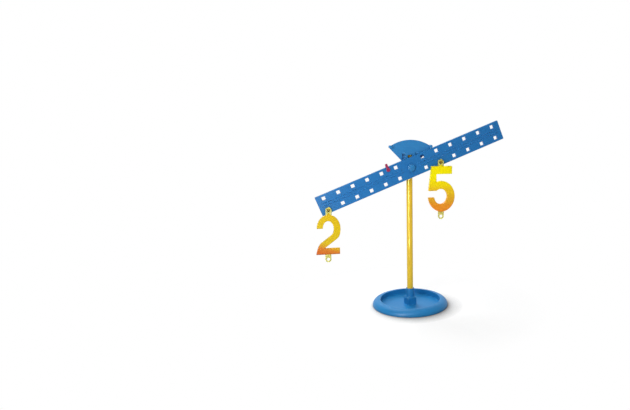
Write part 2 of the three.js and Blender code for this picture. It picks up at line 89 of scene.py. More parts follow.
lens = bpy.data.cameras.new("camera")
lens.sensor_width = SENSOR_WIDTH
lens.lens = FOCAL_PIXELS / IMAGE_WIDTH * lens.sensor_width
lens.shift_x = (IMAGE_WIDTH / 2 - CENTRE_X) / IMAGE_WIDTH
lens.shift_y = (CENTRE_Y - IMAGE_HEIGHT / 2) / IMAGE_WIDTH
lens.clip_start = NEAREST
lens.clip_end = FURTHEST
camera = bpy.data.objects.new("camera", lens)
camera.matrix_world = Matrix.Translation(CAMERA_PLACE) @ turn
bpy.context.scene.collection.objects.link(camera)
bpy.context.scene.camera = camera
bpy.context.scene.view_settings.view_transform = "Standard"
print("lens", round(lens.lens, 2), "mm, shift", round(lens.shift_x, 4), round(lens.shift_y, 4))

# %% [markdown]
# ## The light
# The picture is a bright catalogue shot: white all round, with broad boxes in front, above and behind. A
# narrow upright box at the front left is there for the gloss alone and draws the long bright stripe down
# the tube. A small one beside it lifts the beam's lower arm. The box low behind throws the soft shadow
# that comes forward from the base over the pale floor, and glossy surfaces don't show it.

# %% World and lamps
def maths(nodes, operation, value=0.0):
    """A math node with its second number set."""
    node = nodes.new("ShaderNodeMath")
    node.operation = operation
    node.inputs[1].default_value = value
    return node


def looked_at(nodes, links):
    """One where a ray comes from the camera, from a mirror-like surface or through a clear one, and nought
    where it only carries light: the largest of the three."""
    path = nodes.new("ShaderNodeLightPath")
    either = maths(nodes, "MAXIMUM")
    any_of = maths(nodes, "MAXIMUM")
    links.new(path.outputs["Is Camera Ray"], either.inputs[0])
    links.new(path.outputs["Is Glossy Ray"], either.inputs[1])
    links.new(either.outputs[0], any_of.inputs[0])
    links.new(path.outputs["Is Transmission Ray"], any_of.inputs[1])
    return any_of.outputs[0]


world = bpy.data.worlds.new("studio")
bpy.context.scene.world = world
world.use_nodes = True
nodes, links = world.node_tree.nodes, world.node_tree.links
nodes.clear()
seen = nodes.new("ShaderNodeBackground")
seen.inputs["Color"].default_value = (1, 1, 1, 1)
seen.inputs["Strength"].default_value = 1.0
lit = nodes.new("ShaderNodeBackground")
lit.inputs["Color"].default_value = (0.96, 0.98, 1, 1)
lit.inputs["Strength"].default_value = 0.2
mix = nodes.new("ShaderNodeMixShader")
out = nodes.new("ShaderNodeOutputWorld")
links.new(looked_at(nodes, links), mix.inputs["Fac"])
links.new(lit.outputs[0], mix.inputs[1])
links.new(seen.outputs[0], mix.inputs[2])
links.new(mix.outputs[0], out.inputs["Surface"])


def soft_box(name, azimuth, elevation, distance, width, height, power, aim):
    """A rectangular lamp at that azimuth and elevation in degrees from the aim point, facing it."""
    away = direction(math.radians(azimuth), math.radians(elevation))
    lamp = bpy.data.lights.new(name, "AREA")
    lamp.shape = "RECTANGLE"
    lamp.size = width
    lamp.size_y = height
    lamp.energy = power
    holder = bpy.data.objects.new(name, lamp)
    holder.location = Vector(aim) + away * distance
    holder.rotation_euler = away.to_track_quat("Z", "Y").to_euler()
    holder.visible_camera = False
    bpy.context.scene.collection.objects.link(holder)
    return holder


stripe = soft_box("stripe_box", azimuth=-36, elevation=0, distance=0.46, width=0.045, height=0.46, power=2.6,
                  aim=(0, 0, 0.21))
stripe.visible_diffuse = False
near = soft_box("near_box", azimuth=-36, elevation=0, distance=0.56, width=0.2, height=0.2, power=1.2,
                aim=(-0.02, 0, 0.33))
near.visible_glossy = False
soft_box("front_top_box", azimuth=-10, elevation=52, distance=1.5, width=0.9, height=0.9, power=7.4,
         aim=(0, 0, 0.1))
soft_box("high_back_box", azimuth=-160, elevation=62, distance=1.5, width=0.7, height=0.7, power=8,
         aim=(0, 0, 0.05))
low_back = soft_box("low_back_box", azimuth=-170, elevation=24, distance=1.5, width=0.9, height=0.3, power=13,
                    aim=(0, 0, 0))
low_back.visible_glossy = False

# %% [markdown]
# ## Helpers for surfaces
# A moulded piece never has a knife edge: plastic shrinks back from a mould's corners, so each edge is a
# small rounding that catches the light. Two helpers cover this object. One turns a profile about an axis,
# as a lathe does. The other carries a rounded edge profile along an outline and closes it with flat caps,
# which suits plates.

# %% Points and meshes
TINY, ALMOST_HALF = 1e-9, 0.499
SAME_PLACE, NO_LENGTH = 1e-7, 1e-8  # in metres
LARGEST_FIRST = 100  # how strongly large faces lead the normals


def soften(points, radius, steps=4, closed=True):
    """Rounds the corners of a polyline. Each corner becomes a quadratic curve that starts and ends at a
    distance from it, that distance being the radius or half of the shorter side:
    (1-t)^2 A + 2t(1-t) corner + t^2 B."""
    points = np.asarray(points, float)
    radius = np.broadcast_to(np.asarray(radius, float), len(points))
    before = np.roll(points, 1, 0) - points
    after = np.roll(points, -1, 0) - points
    reach_before = np.linalg.norm(before, axis=1)
    reach_after = np.linalg.norm(after, axis=1)
    cut = np.minimum(radius, ALMOST_HALF * np.minimum(reach_before, reach_after))
    if not closed:
        cut[[0, -1]] = 0
    t = np.linspace(0, 1, steps + 1)[None, :, None]
    start = (points + before * (cut / np.maximum(reach_before, TINY))[:, None])[:, None]
    end = (points + after * (cut / np.maximum(reach_after, TINY))[:, None])[:, None]
    curve = (1 - t) ** 2 * start + 2 * t * (1 - t) * points[:, None] + t**2 * end
    kept = [row if cut[i] > 0 else row[:1] for i, row in enumerate(curve)]
    return np.concatenate(kept)


def finish_mesh(name, vertices, faces, body, *stands_for):
    """Makes the object from vertices in millimetres, joins doubled points, turns the faces outwards, shades
    it smooth with area-weighted normals, and sets it on its body in place of the measured solid."""
    mesh = bpy.data.meshes.new(name)
    mesh.from_pydata((np.asarray(vertices, float) * MM).tolist(), [], faces)
    shape = bmesh.new()
    shape.from_mesh(mesh)
    bmesh.ops.remove_doubles(shape, verts=shape.verts, dist=SAME_PLACE)
    bmesh.ops.dissolve_degenerate(shape, edges=shape.edges, dist=NO_LENGTH)
    bmesh.ops.recalc_face_normals(shape, faces=shape.faces)
    shape.to_mesh(mesh)
    shape.free()
    mesh.shade_smooth()
    piece = bpy.data.objects.new(name, mesh)
    bpy.context.scene.collection.objects.link(piece)
    weighted = piece.modifiers.new("weighted normals", "WEIGHTED_NORMAL")
    weighted.mode = "FACE_AREA"
    weighted.weight = LARGEST_FIRST
    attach(piece, body)
    if stands_for:
        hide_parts(*stands_for)
    print(name, len(mesh.polygons), "faces")
    return piece


def bands(rows, columns, first=0, wrap_rows=False):
    """Quads that join a table of points, each row a closed ring."""
    index = first + np.arange(rows * columns).reshape(rows, columns)
    upper = np.roll(index, -1, 0) if wrap_rows else index[1:]
    lower = index if wrap_rows else index[:-1]
    return np.stack([lower, np.roll(lower, -1, 1), np.roll(upper, -1, 1), upper], -1).reshape(-1, 4)


# %% Turning and plates
SHARPEST_MITRE = 0.35
FACE_RIM = 1.6  # how far a flat face's border reaches inwards, in edge radii


def turned(profile, sides):
    """A profile of (radius, height) turned about Z, for angles a round the circle: x = r cos a, y = r sin a,
    z = h."""
    a = np.linspace(0, 2 * np.pi, sides, endpoint=False)
    r, h = np.asarray(profile, float).T
    points = np.stack([np.outer(r, np.cos(a)), np.outer(r, np.sin(a)), np.outer(h, np.ones(sides))], -1)
    return points.reshape(-1, 3), bands(len(r), sides)


def inset(loop, distance):
    """Moves each corner of a closed outline into the material, along the mitre of its two sides. The material
    is on the left, so an outline runs anticlockwise and a hole clockwise."""
    side = np.roll(loop, -1, 0) - loop
    side /= np.linalg.norm(side, axis=1, keepdims=True)
    normal = np.stack([-side[:, 1], side[:, 0]], 1)
    mitre = normal + np.roll(normal, 1, 0)
    mitre /= np.maximum(np.sum(mitre * normal, 1, keepdims=True), SHARPEST_MITRE)
    return loop + distance * mitre


def wound(loop, anticlockwise=True):
    """The outline in the wanted turn: the sum of x1 y2 - x2 y1 is positive where it runs anticlockwise."""
    loop = np.asarray(loop, float)
    after = np.roll(loop, -1, 0)
    area = np.sum(loop[:, 0] * after[:, 1] - after[:, 0] * loop[:, 1])
    return loop if (area > 0) == anticlockwise else loop[::-1]


def plate(outline, holes, rear, front, edge, steps=4):
    """A flat plate between two depths. Its rim follows a quarter circle at each face: at angle a the outline
    is inset by edge (1 - cos a) and the depth falls short of the face by edge (1 - sin a). Returns points as
    (x, depth, z) and faces."""
    loops = [wound(outline)] + [wound(hole, False) for hole in holes]
    a = np.linspace(0, np.pi / 2, steps + 1)
    in_share, back_share = 1 - np.cos(a), 1 - np.sin(a)
    inward = edge * np.concatenate([[FACE_RIM], in_share[::-1], in_share, [FACE_RIM]])
    depth = np.concatenate([[rear], rear + edge * back_share[::-1], front - edge * back_share, [front]])
    points, faces, caps, first = [], [], [[], []], 0
    for loop in loops:
        rings = np.stack([inset(loop, d) for d in inward])
        ring = np.stack([rings[..., 0], np.broadcast_to(depth[:, None], rings.shape[:2]), rings[..., 1]], -1)
        points.append(ring.reshape(-1, 3))
        faces += bands(len(depth), len(loop), first).tolist()
        for cap, row in zip(caps, (0, len(depth) - 1)):
            cap.append((ring[row], first + row * len(loop)))
        first += len(depth) * len(loop)
    for cap in caps:
        flat = [[Vector((x, z, 0)) for x, _, z in ring] for ring, _ in cap]
        index = np.concatenate([start + np.arange(len(ring)) for ring, start in cap])
        faces += [[int(index[i]) for i in corner] for corner in tessellate_polygon(flat)]
    return np.concatenate(points), faces


def forward(points):
    """Turns points given as (x, depth, z) into (x, y, z). A depth in front of the post's axis is a negative
    y."""
    return np.asarray(points) * [1, -1, 1]


def gather(*parts):
    """Joins several (points, faces) pairs into one."""
    points, faces, first = [], [], 0
    for some, quads in parts:
        points.append(np.asarray(some, float))
        faces += [[int(i) + first for i in face] for face in quads]
        first += len(some)
    return np.concatenate(points), faces


def arc(x, z, half_x, half_z, start, end, count=48):
    """Points on an ellipse from one angle to another, in radians."""
    a = np.linspace(start, end, count)
    return np.stack([x + half_x * np.cos(a), z + half_z * np.sin(a)], 1)


def circle(x, z, radius, sides=48):
    """Points round a circle in the plate's plane."""
    return arc(x, z, radius, radius, 0, 2 * np.pi, sides + 1)[:-1]


def oblong(x, z, width, height, corner=0.4):
    """An upright rectangle with rounded corners."""
    w, h = width / 2, height / 2
    return soften([(x - w, z - h), (x + w, z - h), (x + w, z + h), (x - w, z + h)], corner)


# %% [markdown]
# ## Plastics
# All pieces are glossy moulded plastic. Up close its colour is never quite even: pigment swirls faintly,
# the mould's fine texture breaks up the gloss, and convex edges are mixed with a paler colour. Each finish
# gets the swirls and texture from noise on Object coordinates, so that the pattern stays put when a piece
# moves, and the paler edges from the mesh's pointiness.

# %% Plastic finish
SWIRLS, FINE_GRAIN = 22, 600  # noise waves in a metre
GLOSSIEST, DULLEST = 0.92, 1.1  # shares of the roughness
GRAIN_DEPTH = 0.00005  # in metres
WAVINESS = 0.006  # how far noise moves the numerals' colours, in metres


def paint(red, green, blue, alpha=1.0):
    """A screen colour of 0 to 255 as the linear light that shaders use. With s as the share of 255, the
    light is s / 12.92 up to 0.04045 and ((s + 0.055) / 1.055)^2.4 above it."""
    s = np.array([red, green, blue]) / 255
    linear = np.where(s <= 0.04045, s / 12.92, ((s + 0.055) / 1.055) ** 2.4)
    return (*map(float, linear), alpha)


def plastic(name, colour, pale, dark, roughness=0.3, grain=0.02, edge_paleness=0.18, shine=0.3, metal=0.0):
    """Pigment swirls mix the colour with a darker one, convex edges mix in a paler one, and fine noise
    changes the gloss and makes a very shallow grain."""
    material = bpy.data.materials.new(name)
    material.use_nodes = True
    nodes, links = material.node_tree.nodes, material.node_tree.links
    shader = nodes["Principled BSDF"]
    place = nodes.new("ShaderNodeTexCoord")
    swirl = nodes.new("ShaderNodeTexNoise")
    swirl.inputs["Scale"].default_value = SWIRLS
    swirl.inputs["Detail"].default_value = 3
    swirl.inputs["Distortion"].default_value = 0.6
    spread = nodes.new("ShaderNodeMapRange")
    spread.inputs["From Min"].default_value = 0.35
    spread.inputs["From Max"].default_value = 0.75
    spread.inputs["To Max"].default_value = 0.35
    body = nodes.new("ShaderNodeMix")
    body.data_type = "RGBA"
    body.inputs["A"].default_value = colour
    body.inputs["B"].default_value = dark
    edges = nodes.new("ShaderNodeNewGeometry")
    # Where the pointiness is high, on convex edges, the colour is mixed with the paler one.
    edge_mask = nodes.new("ShaderNodeMapRange")
    edge_mask.inputs["From Min"].default_value = 0.52
    edge_mask.inputs["From Max"].default_value = 0.62
    edge_mask.inputs["To Max"].default_value = edge_paleness
    paler_edges = nodes.new("ShaderNodeMix")
    paler_edges.data_type = "RGBA"
    paler_edges.inputs["B"].default_value = pale
    fine = nodes.new("ShaderNodeTexNoise")
    fine.inputs["Scale"].default_value = FINE_GRAIN
    fine.inputs["Detail"].default_value = 2
    gloss = nodes.new("ShaderNodeMapRange")
    gloss.inputs["To Min"].default_value = GLOSSIEST * roughness
    gloss.inputs["To Max"].default_value = DULLEST * roughness
    bump = nodes.new("ShaderNodeBump")
    bump.inputs["Strength"].default_value = grain
    bump.inputs["Distance"].default_value = GRAIN_DEPTH
    links.new(place.outputs["Object"], swirl.inputs["Vector"])
    links.new(place.outputs["Object"], fine.inputs["Vector"])
    links.new(swirl.outputs["Fac"], spread.inputs["Value"])
    links.new(spread.outputs["Result"], body.inputs["Factor"])
    links.new(edges.outputs["Pointiness"], edge_mask.inputs["Value"])
    links.new(edge_mask.outputs["Result"], paler_edges.inputs["Factor"])
    links.new(body.outputs["Result"], paler_edges.inputs["A"])
    links.new(paler_edges.outputs["Result"], shader.inputs["Base Color"])
    links.new(fine.outputs["Fac"], gloss.inputs["Value"])
    links.new(gloss.outputs["Result"], shader.inputs["Roughness"])
    links.new(fine.outputs["Fac"], bump.inputs["Height"])
    links.new(bump.outputs["Normal"], shader.inputs["Normal"])
    shader.inputs["IOR"].default_value = 1.5
    shader.inputs["Specular IOR Level"].default_value = shine
    shader.inputs["Metallic"].default_value = metal
    return material


dish_blue = plastic("dish_blue", paint(30, 127, 188), paint(90, 165, 215), paint(22, 112, 176),
                    roughness=0.42, shine=0.27)
beam_blue = plastic("beam_blue", paint(36, 116, 181), paint(60, 130, 190), paint(28, 102, 168),
                    roughness=0.32, shine=0.2)
dial_blue = plastic("dial_blue", paint(44, 129, 190), paint(80, 150, 200), paint(34, 114, 176))
knob_blue = plastic("knob_blue", paint(38, 124, 184), paint(96, 165, 212), paint(28, 110, 170))
# The clips' paler blue is painted light: it lifts the shade inside the dial's slots, where the clips show.
clip_blue_painted_light = plastic("clip_blue_painted_light", paint(58, 142, 202), paint(96, 165, 212), paint(44, 126, 190))
tube_yellow = plastic("tube_yellow", paint(234, 195, 26), paint(244, 214, 60), paint(222, 176, 24),
                      roughness=0.16, grain=0.001, edge_paleness=0.1, shine=0.5, metal=0.12)
rider_magenta = plastic("rider_magenta", paint(158, 36, 78), paint(190, 80, 125), paint(140, 26, 82))
peg_amber = plastic("peg_amber", paint(150, 124, 30), paint(190, 165, 60), paint(120, 100, 26),
                    roughness=0.25, edge_paleness=0.1)

# %% [markdown]
# ## Numeral finish
# The numerals run from yellow at the top into orange at the foot, as plastic does when two colours are
# shot into one mould. A ramp along the numeral's height gives that, with a little noise to break up the
# bands. The rings are a paler, slightly see-through yellow.

# %% Numeral finish
def sunset(name, low, high, stops, lean, middle):
    """A ramp of colours between two heights in millimetres, tilted by lean: the height plus lean times the
    distance right of the numeral's middle."""
    material = plastic(name, paint(240, 190, 30), paint(255, 235, 120), paint(225, 160, 30),
                       edge_paleness=0.1, shine=0.14)
    nodes, links = material.node_tree.nodes, material.node_tree.links
    body = next(n for n in nodes if n.type == "MIX" and not n.inputs["A"].is_linked)
    place = next(n for n in nodes if n.type == "TEX_COORD")
    swirl = next(n for n in nodes if n.type == "TEX_NOISE" and n.inputs["Scale"].default_value < FINE_GRAIN)
    split = nodes.new("ShaderNodeSeparateXYZ")
    slant = maths(nodes, "MULTIPLY_ADD", lean)
    wave = maths(nodes, "MULTIPLY_ADD", WAVINESS)
    level = nodes.new("ShaderNodeMapRange")
    level.inputs["From Min"].default_value = (low + lean * middle) * MM
    level.inputs["From Max"].default_value = (high + lean * middle) * MM
    ramp = nodes.new("ShaderNodeValToRGB")
    ramp.color_ramp.interpolation = "EASE"
    while len(ramp.color_ramp.elements) < len(stops):
        ramp.color_ramp.elements.new(0.5)
    for element, (position, colour) in zip(ramp.color_ramp.elements, stops):
        element.position = position
        element.color = colour
    links.new(place.outputs["Object"], split.inputs["Vector"])
    links.new(split.outputs["X"], slant.inputs[0])
    links.new(split.outputs["Z"], slant.inputs[2])
    links.new(swirl.outputs["Fac"], wave.inputs[0])
    links.new(slant.outputs[0], wave.inputs[2])
    links.new(wave.outputs[0], level.inputs["Value"])
    links.new(level.outputs["Result"], ramp.inputs["Fac"])
    links.new(ramp.outputs["Color"], body.inputs["A"])
    body.inputs["Factor"].default_value = 0
    for link in list(body.inputs["Factor"].links):
        links.remove(link)
    return material


ring_clear = plastic("ring_clear", paint(226, 222, 122), paint(245, 240, 180), paint(206, 200, 96),
                     roughness=0.25, edge_paleness=0.2)
ring_clear.node_tree.nodes["Principled BSDF"].inputs["Transmission Weight"].default_value = 0.3

# %% [markdown]
# ## The dish base
# One moulding: a round dish whose crest rolls over into a hollow skirt, and in its middle a square socket
# block that narrows into a sleeve for the tube. The dish is a body of revolution, so one profile gives it
# all, and its skirt is a quarter of an ellipse. The socket goes from a square to a circle, and both are
# the same superellipse with another power.

# %% Dish
RECESS, CREST, SKIRT = 57.0, 1.4, 13.6
CREST_ROUND, RECESS_FILLET, FOOT_ROUND, FLOOR_BREAK = 0.6, 1.2, 0.5, 0.3
BASE_HEIGHT, FLOOR, FOOT, SKIRT_WALL = 11.9, 1.9, 1.4, 2.4
BLOCK, BLOCK_HEIGHT, SHOULDER, SOCKET_HEIGHT = 18.5, 11.5, 4.5, 30.7
SOCKET_RADIUS, SOCKET_BORE, SOCKET_TURN = 7.9, 6.1, math.radians(15)
LIP_ROUND, LIP_START, BORE_FLOOR, BLOCK_BREAK, BLOCK_TAPER = 0.4, 2.0, 0.2, 0.6, 0.35
SQUARE_POWER, BROKEN_POWER, ROUND_POWER = 16, 14, 2
ROOT_FILLET = [(-FLOOR / 2, 0.9, 10), (0, 0.5, 12), (0.4, 0.12, 14), (0.9, 0, 16)]  # rise, widening, power
DISH_SIDES, SOCKET_SIDES = 192, 96

quarter = np.linspace(0, np.pi / 2, 25)
crest = RECESS + CREST
skirt = np.stack([crest + SKIRT * np.cos(quarter), FOOT + (BASE_HEIGHT - FOOT) * np.sin(quarter)], 1)
inner = np.stack([crest + (SKIRT - SKIRT_WALL) * np.cos(quarter),
                  FOOT + (BASE_HEIGHT - FOOT - SKIRT_WALL) * np.sin(quarter)], 1)
inner = inner[inner[:, 0] > RECESS + SKIRT_WALL]
outer_edge = soften([(crest + SKIRT - SKIRT_WALL, FOOT), (crest + SKIRT - SKIRT_WALL, 0), (crest + SKIRT, 0),
                     (crest + SKIRT, FOOT)], [0, FOOT_ROUND, FOOT_ROUND, 0], closed=False)
crest_edge = soften([(crest, BASE_HEIGHT), (RECESS, BASE_HEIGHT), (RECESS, FLOOR), (0, FLOOR)],
                    [0, CREST_ROUND, RECESS_FILLET, 0], steps=8, closed=False)
drum = RECESS + SKIRT_WALL
floor_disc = [(0, 0), (drum - FLOOR_BREAK, 0), (drum, FLOOR_BREAK), (drum, inner[-1, 1])]
dish_profile = np.concatenate([floor_disc, inner[::-1], outer_edge[1:], skirt[1:], crest_edge[1:]])
dish = turned(dish_profile, DISH_SIDES)


def socket_ring(z, half, power):
    """A ring of the socket: |x|^p + |y|^p = half^p, a circle at power 2 and nearly a square at power 16."""
    a = np.linspace(0, 2 * np.pi, SOCKET_SIDES, endpoint=False)
    c, s = np.cos(a), np.sin(a)
    r = half / (np.abs(c) ** power + np.abs(s) ** power) ** (1 / power)
    a += SOCKET_TURN
    return np.stack([r * np.cos(a), r * np.sin(a), np.full(SOCKET_SIDES, z)], 1)


def socket():
    """Rings from the dish's floor up to the lip, over it and down the bore. The width eases from the block's
    to the sleeve's over the shoulder, and the power falls from nearly square to round."""
    top, half, shoulder = FLOOR + SOCKET_HEIGHT, BLOCK / 2, FLOOR + BLOCK_HEIGHT
    rings = [socket_ring(FLOOR + rise, half + wider, power) for rise, wider, power in ROOT_FILLET]
    for t in np.linspace(0, 1, 9):
        power = SQUARE_POWER - (SQUARE_POWER - BROKEN_POWER) * t
        z = shoulder - BLOCK_BREAK + 2 * BLOCK_BREAK * t
        rings.append(socket_ring(z, half - BLOCK_TAPER * t * t, power))
    for t in np.linspace(0, 1, 13)[1:]:
        ease = t * t * (3 - 2 * t)
        power = ROUND_POWER + (BROKEN_POWER - ROUND_POWER) * (1 - ease) ** 3
        z = shoulder + BLOCK_BREAK + (SHOULDER - BLOCK_BREAK) * t
        rings.append(socket_ring(z, half - BLOCK_TAPER + (SOCKET_RADIUS - half + BLOCK_TAPER) * ease, power))
    lip = soften([(SOCKET_RADIUS, top - LIP_START), (SOCKET_RADIUS, top), (SOCKET_BORE, top),
                  (SOCKET_BORE, FLOOR + BORE_FLOOR)], [0, LIP_ROUND, LIP_ROUND, 0], closed=False)
    rings += [socket_ring(z, r, ROUND_POWER) for r, z in lip]
    rings.append(socket_ring(FLOOR + BORE_FLOOR, 0, ROUND_POWER))
    points = np.stack(rings)
    return points.reshape(-1, 3), bands(*points.shape[:2]).tolist() + [list(range(points.shape[1]))[::-1]]


base = finish_mesh("base_dish", *gather(dish, socket()), "stand", "base")
base.data.materials.append(dish_blue)

# %% [markdown]
# ## The tube
# An ordinary round tube, cut square. Its cut edges are very slightly broken.

# %% Tube
TUBE_RADIUS, TUBE_WALL, TUBE_LOW, TUBE_HIGH, TUBE_BREAK, TUBE_SIDES = 5.8, 1.4, 2.2, 286.2, 0.3, 96
wall = soften([(TUBE_RADIUS - TUBE_WALL, TUBE_LOW), (TUBE_RADIUS, TUBE_LOW), (TUBE_RADIUS, TUBE_HIGH),
               (TUBE_RADIUS - TUBE_WALL, TUBE_HIGH)], TUBE_BREAK)
points = turned(wall, TUBE_SIDES)[0]
quads = bands(len(wall), TUBE_SIDES, wrap_rows=True)
tube = finish_mesh("tube", points, quads.tolist(), "stand", "post_tube")
tube.data.materials.append(tube_yellow)

# %% [markdown]
# ## The head: dial plate, bracket and knob
# The dial is a fan: a part of a disc between two straight sides, with a round hub behind the beam. Two
# clips of the bracket snap through its slots, the tube shows in its small window, and a stop peg stands
# at each corner. The outline is worked out from the arc, the sides and the hub, and the plate helper
# rounds its edges.

# %% Depths and dial
PIVOT = 265.2
PLATE_BACK, PLATE_FRONT, BEAM_BACK, BEAM_FRONT = 8.8, 11.8, 13.7, 19.7
ARC_RADIUS, ARC_DROP, APEX_DROP, SPREAD = 66.0, 16.6, 5.0, math.radians(43.7)
CORNER, HUB, DIAL_EDGE = 3.2, 12.0, 0.4
SLOT_X, SLOT_RISE, SLOT_WIDTH, SLOT_HEIGHT = 12.4, 20.3, 5.6, 12.6
WINDOW_RISE, WINDOW_WIDTH, WINDOW_HEIGHT = 18.9, 9.2, 7.0
STOP_REACH, STOP_RADIUS, STOP_OUT, STOP_ROUND = 50.3, 2.9, 2.4, 0.7
STOP_ROOT, STOP_SHORT, STOP_GAP, STOP_SIDES = 1, 0.3, 0.3, 48
BEAM_WIDTH = 35.6
TILT = math.acos((BEAM_WIDTH / 2 + STOP_RADIUS + STOP_GAP) / STOP_REACH) - SPREAD


def fan_outline():
    """Over the arc, round the left corner, down to the hub, round under it and up to the right corner. A
    corner of radius c touches the arc of radius R and a side, so its middle lies R - c from the arc's centre
    and c from the side: along the side that is sqrt((R - c)^2 - (offset + c)^2) from the foot of the centre's
    upright on it."""
    rise = ARC_DROP - APEX_DROP
    along, across = rise * math.cos(SPREAD), rise * math.sin(SPREAD)
    side = math.sqrt((ARC_RADIUS - CORNER) ** 2 - (across + CORNER) ** 2) - along
    touch = np.array([side * math.sin(SPREAD), -APEX_DROP + side * math.cos(SPREAD)])
    middle = touch + CORNER * np.array([-math.cos(SPREAD), math.sin(SPREAD)])
    top = math.atan2(middle[1] + ARC_DROP, middle[0])
    over = arc(0, -ARC_DROP, ARC_RADIUS, ARC_RADIUS, top, math.pi - top, count=90)
    left = arc(-middle[0], middle[1], CORNER, CORNER, math.pi - top, math.pi + SPREAD, count=14)
    foot = APEX_DROP * math.cos(SPREAD) + math.sqrt(HUB**2 - (APEX_DROP * math.sin(SPREAD)) ** 2)
    low = math.atan2(foot * math.cos(SPREAD) - APEX_DROP, foot * math.sin(SPREAD))
    under = arc(0, 0, HUB, HUB, math.pi - low, 2 * math.pi + low, count=60)
    right = arc(middle[0], middle[1], CORNER, CORNER, -SPREAD, top, count=14)
    return np.concatenate([over, left[1:], under, right[:-1]]) + [0, PIVOT]


slots = [oblong(x, PIVOT + SLOT_RISE, SLOT_WIDTH, SLOT_HEIGHT) for x in (-SLOT_X, SLOT_X)]
window = oblong(0, PIVOT + WINDOW_RISE, WINDOW_WIDTH, WINDOW_HEIGHT)
dial = plate(fan_outline(), slots + [window], PLATE_BACK, PLATE_FRONT, DIAL_EDGE)


def stop_peg(side):
    """A round peg that stands forward from the plate's corner, with a rounded front edge. It is set out past
    the corner along the edge of the beam that rests on it, so the beam still meets it at the same tilt."""
    root, tip = PLATE_BACK + STOP_ROOT, BEAM_FRONT - STOP_SHORT
    profile = soften([(0, root), (STOP_RADIUS, root), (STOP_RADIUS, tip), (0, tip)],
                     [0, 0, STOP_ROUND, 0], closed=False)
    points, quads = turned(profile, STOP_SIDES)
    x = side * (STOP_REACH * math.sin(SPREAD) + STOP_OUT * math.cos(TILT))
    z = PIVOT + STOP_REACH * math.cos(SPREAD) + STOP_OUT * math.sin(TILT)
    return np.stack([points[:, 0] + x, points[:, 2], points[:, 1] + z], 1), quads


points, faces = gather(dial, stop_peg(-1), stop_peg(1))
dial_piece = finish_mesh("dial", forward(points), faces, "stand", "dial_plate")
dial_piece.data.materials.append(dial_blue)

# %% [markdown]
# The bracket behind the dial is hidden but for its clips, and its measured solid already has their shape.
# A copy of the solid is merged and its edges are rounded with a Bevel modifier, which is the quick way
# for a boxy piece. The pegs and the rider are made in the same way.

# %% Bracket and small pieces from the measured solids
MERGED = 2e-6  # in metres
FLAT, CREASE = math.radians(1), math.radians(40)
BEVEL_STEPS = 3


def rounded_copy(node, name, body, width, material):
    """A merged copy of a measured solid with its edges rounded by a Bevel modifier. The width is in
    millimetres."""
    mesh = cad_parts[node].data.copy()
    mesh.name = name
    mesh.materials.clear()
    shape = bmesh.new()
    shape.from_mesh(mesh)
    bmesh.ops.remove_doubles(shape, verts=shape.verts, dist=MERGED)
    bmesh.ops.dissolve_limit(shape, angle_limit=FLAT, verts=shape.verts, edges=shape.edges)
    bmesh.ops.recalc_face_normals(shape, faces=shape.faces)
    shape.to_mesh(mesh)
    shape.free()
    mesh.shade_smooth()
    piece = bpy.data.objects.new(name, mesh)
    bpy.context.scene.collection.objects.link(piece)
    bevel = piece.modifiers.new("rounded edges", "BEVEL")
    bevel.width = width * MM
    bevel.segments = BEVEL_STEPS
    bevel.limit_method = "ANGLE"
    bevel.angle_limit = CREASE
    bevel.harden_normals = True
    weighted = piece.modifiers.new("weighted normals", "WEIGHTED_NORMAL")
    weighted.weight = LARGEST_FIRST
    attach(piece, body)
    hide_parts(node)
    piece.data.materials.append(material)
    print(name, len(mesh.polygons), "faces before rounding")
    return piece


BRACKET_EDGE, PEG_EDGE, RIDER_EDGE = 0.3, 0.2, 0.45
# The clips take the paler blue, which is painted light against the shade in the slots.
rounded_copy("head_bracket", "bracket", "stand", BRACKET_EDGE, clip_blue_painted_light)
for side in ("left", "right"):
    rounded_copy(f"hanger_peg_{side}", f"peg_{side}", "beam_arm", PEG_EDGE, peg_amber)

# %% [markdown]
# The knob is the pivot pin's head: a low dome that is turned in one piece with the shank behind it.

# %% Knob
KNOB_BACK, KNOB_RADIUS, KNOB_FRONT = 20.0, 6.6, 25.6
ROUND_WIDE, ROUND_DEEP, CROWN = 2.2, 1.8, 0.8
EDGE_ROUND, STEP_ROUND = 0.3, 0.2
SHANK_RADIUS, JOURNAL_RADIUS, JOURNAL_BACK = 2.4, 3.2, 12.1
TAIL_RADIUS, TAIL_TIP, TAIL_WIDE, TAIL_STEP = 2.1, -11.8, -9.8, -8.8
KNOB_SIDES = 72

dome = np.linspace(0, np.pi / 2, 13)
flat_radius = KNOB_RADIUS - ROUND_WIDE
rim = KNOB_FRONT - CROWN - ROUND_DEEP
rounding = np.stack([flat_radius + ROUND_WIDE * np.cos(dome), rim + ROUND_DEEP * np.sin(dome)], 1)
share = np.linspace(1, 0, 9)[1:]
crown = np.stack([flat_radius * share, KNOB_FRONT - CROWN * share**2], 1)
shank = soften([(0, TAIL_TIP), (TAIL_RADIUS, TAIL_TIP), (JOURNAL_RADIUS, TAIL_WIDE),
                (JOURNAL_RADIUS, TAIL_STEP), (SHANK_RADIUS, TAIL_STEP), (SHANK_RADIUS, JOURNAL_BACK),
                (JOURNAL_RADIUS, JOURNAL_BACK), (JOURNAL_RADIUS, KNOB_BACK), (KNOB_RADIUS, KNOB_BACK),
                (KNOB_RADIUS, rim)],
               [0] + [EDGE_ROUND] * 2 + [STEP_ROUND] * 5 + [EDGE_ROUND, 0], closed=False)
points, quads = turned(np.concatenate([shank, rounding[1:], crown]), KNOB_SIDES)
points = np.stack([points[:, 0], points[:, 2], points[:, 1] + PIVOT], 1)
knob = finish_mesh("knob", forward(points), quads.tolist(), "stand", "pivot_pin")
knob.data.materials.append(knob_blue)

# %% [markdown]
# ## The beam
# A flat bar with two rows of square holes and shallow ribs between the rows. It is worked out level, with
# its middle at the pivot, and then turned to the angle at which its top edge meets the right stop peg.

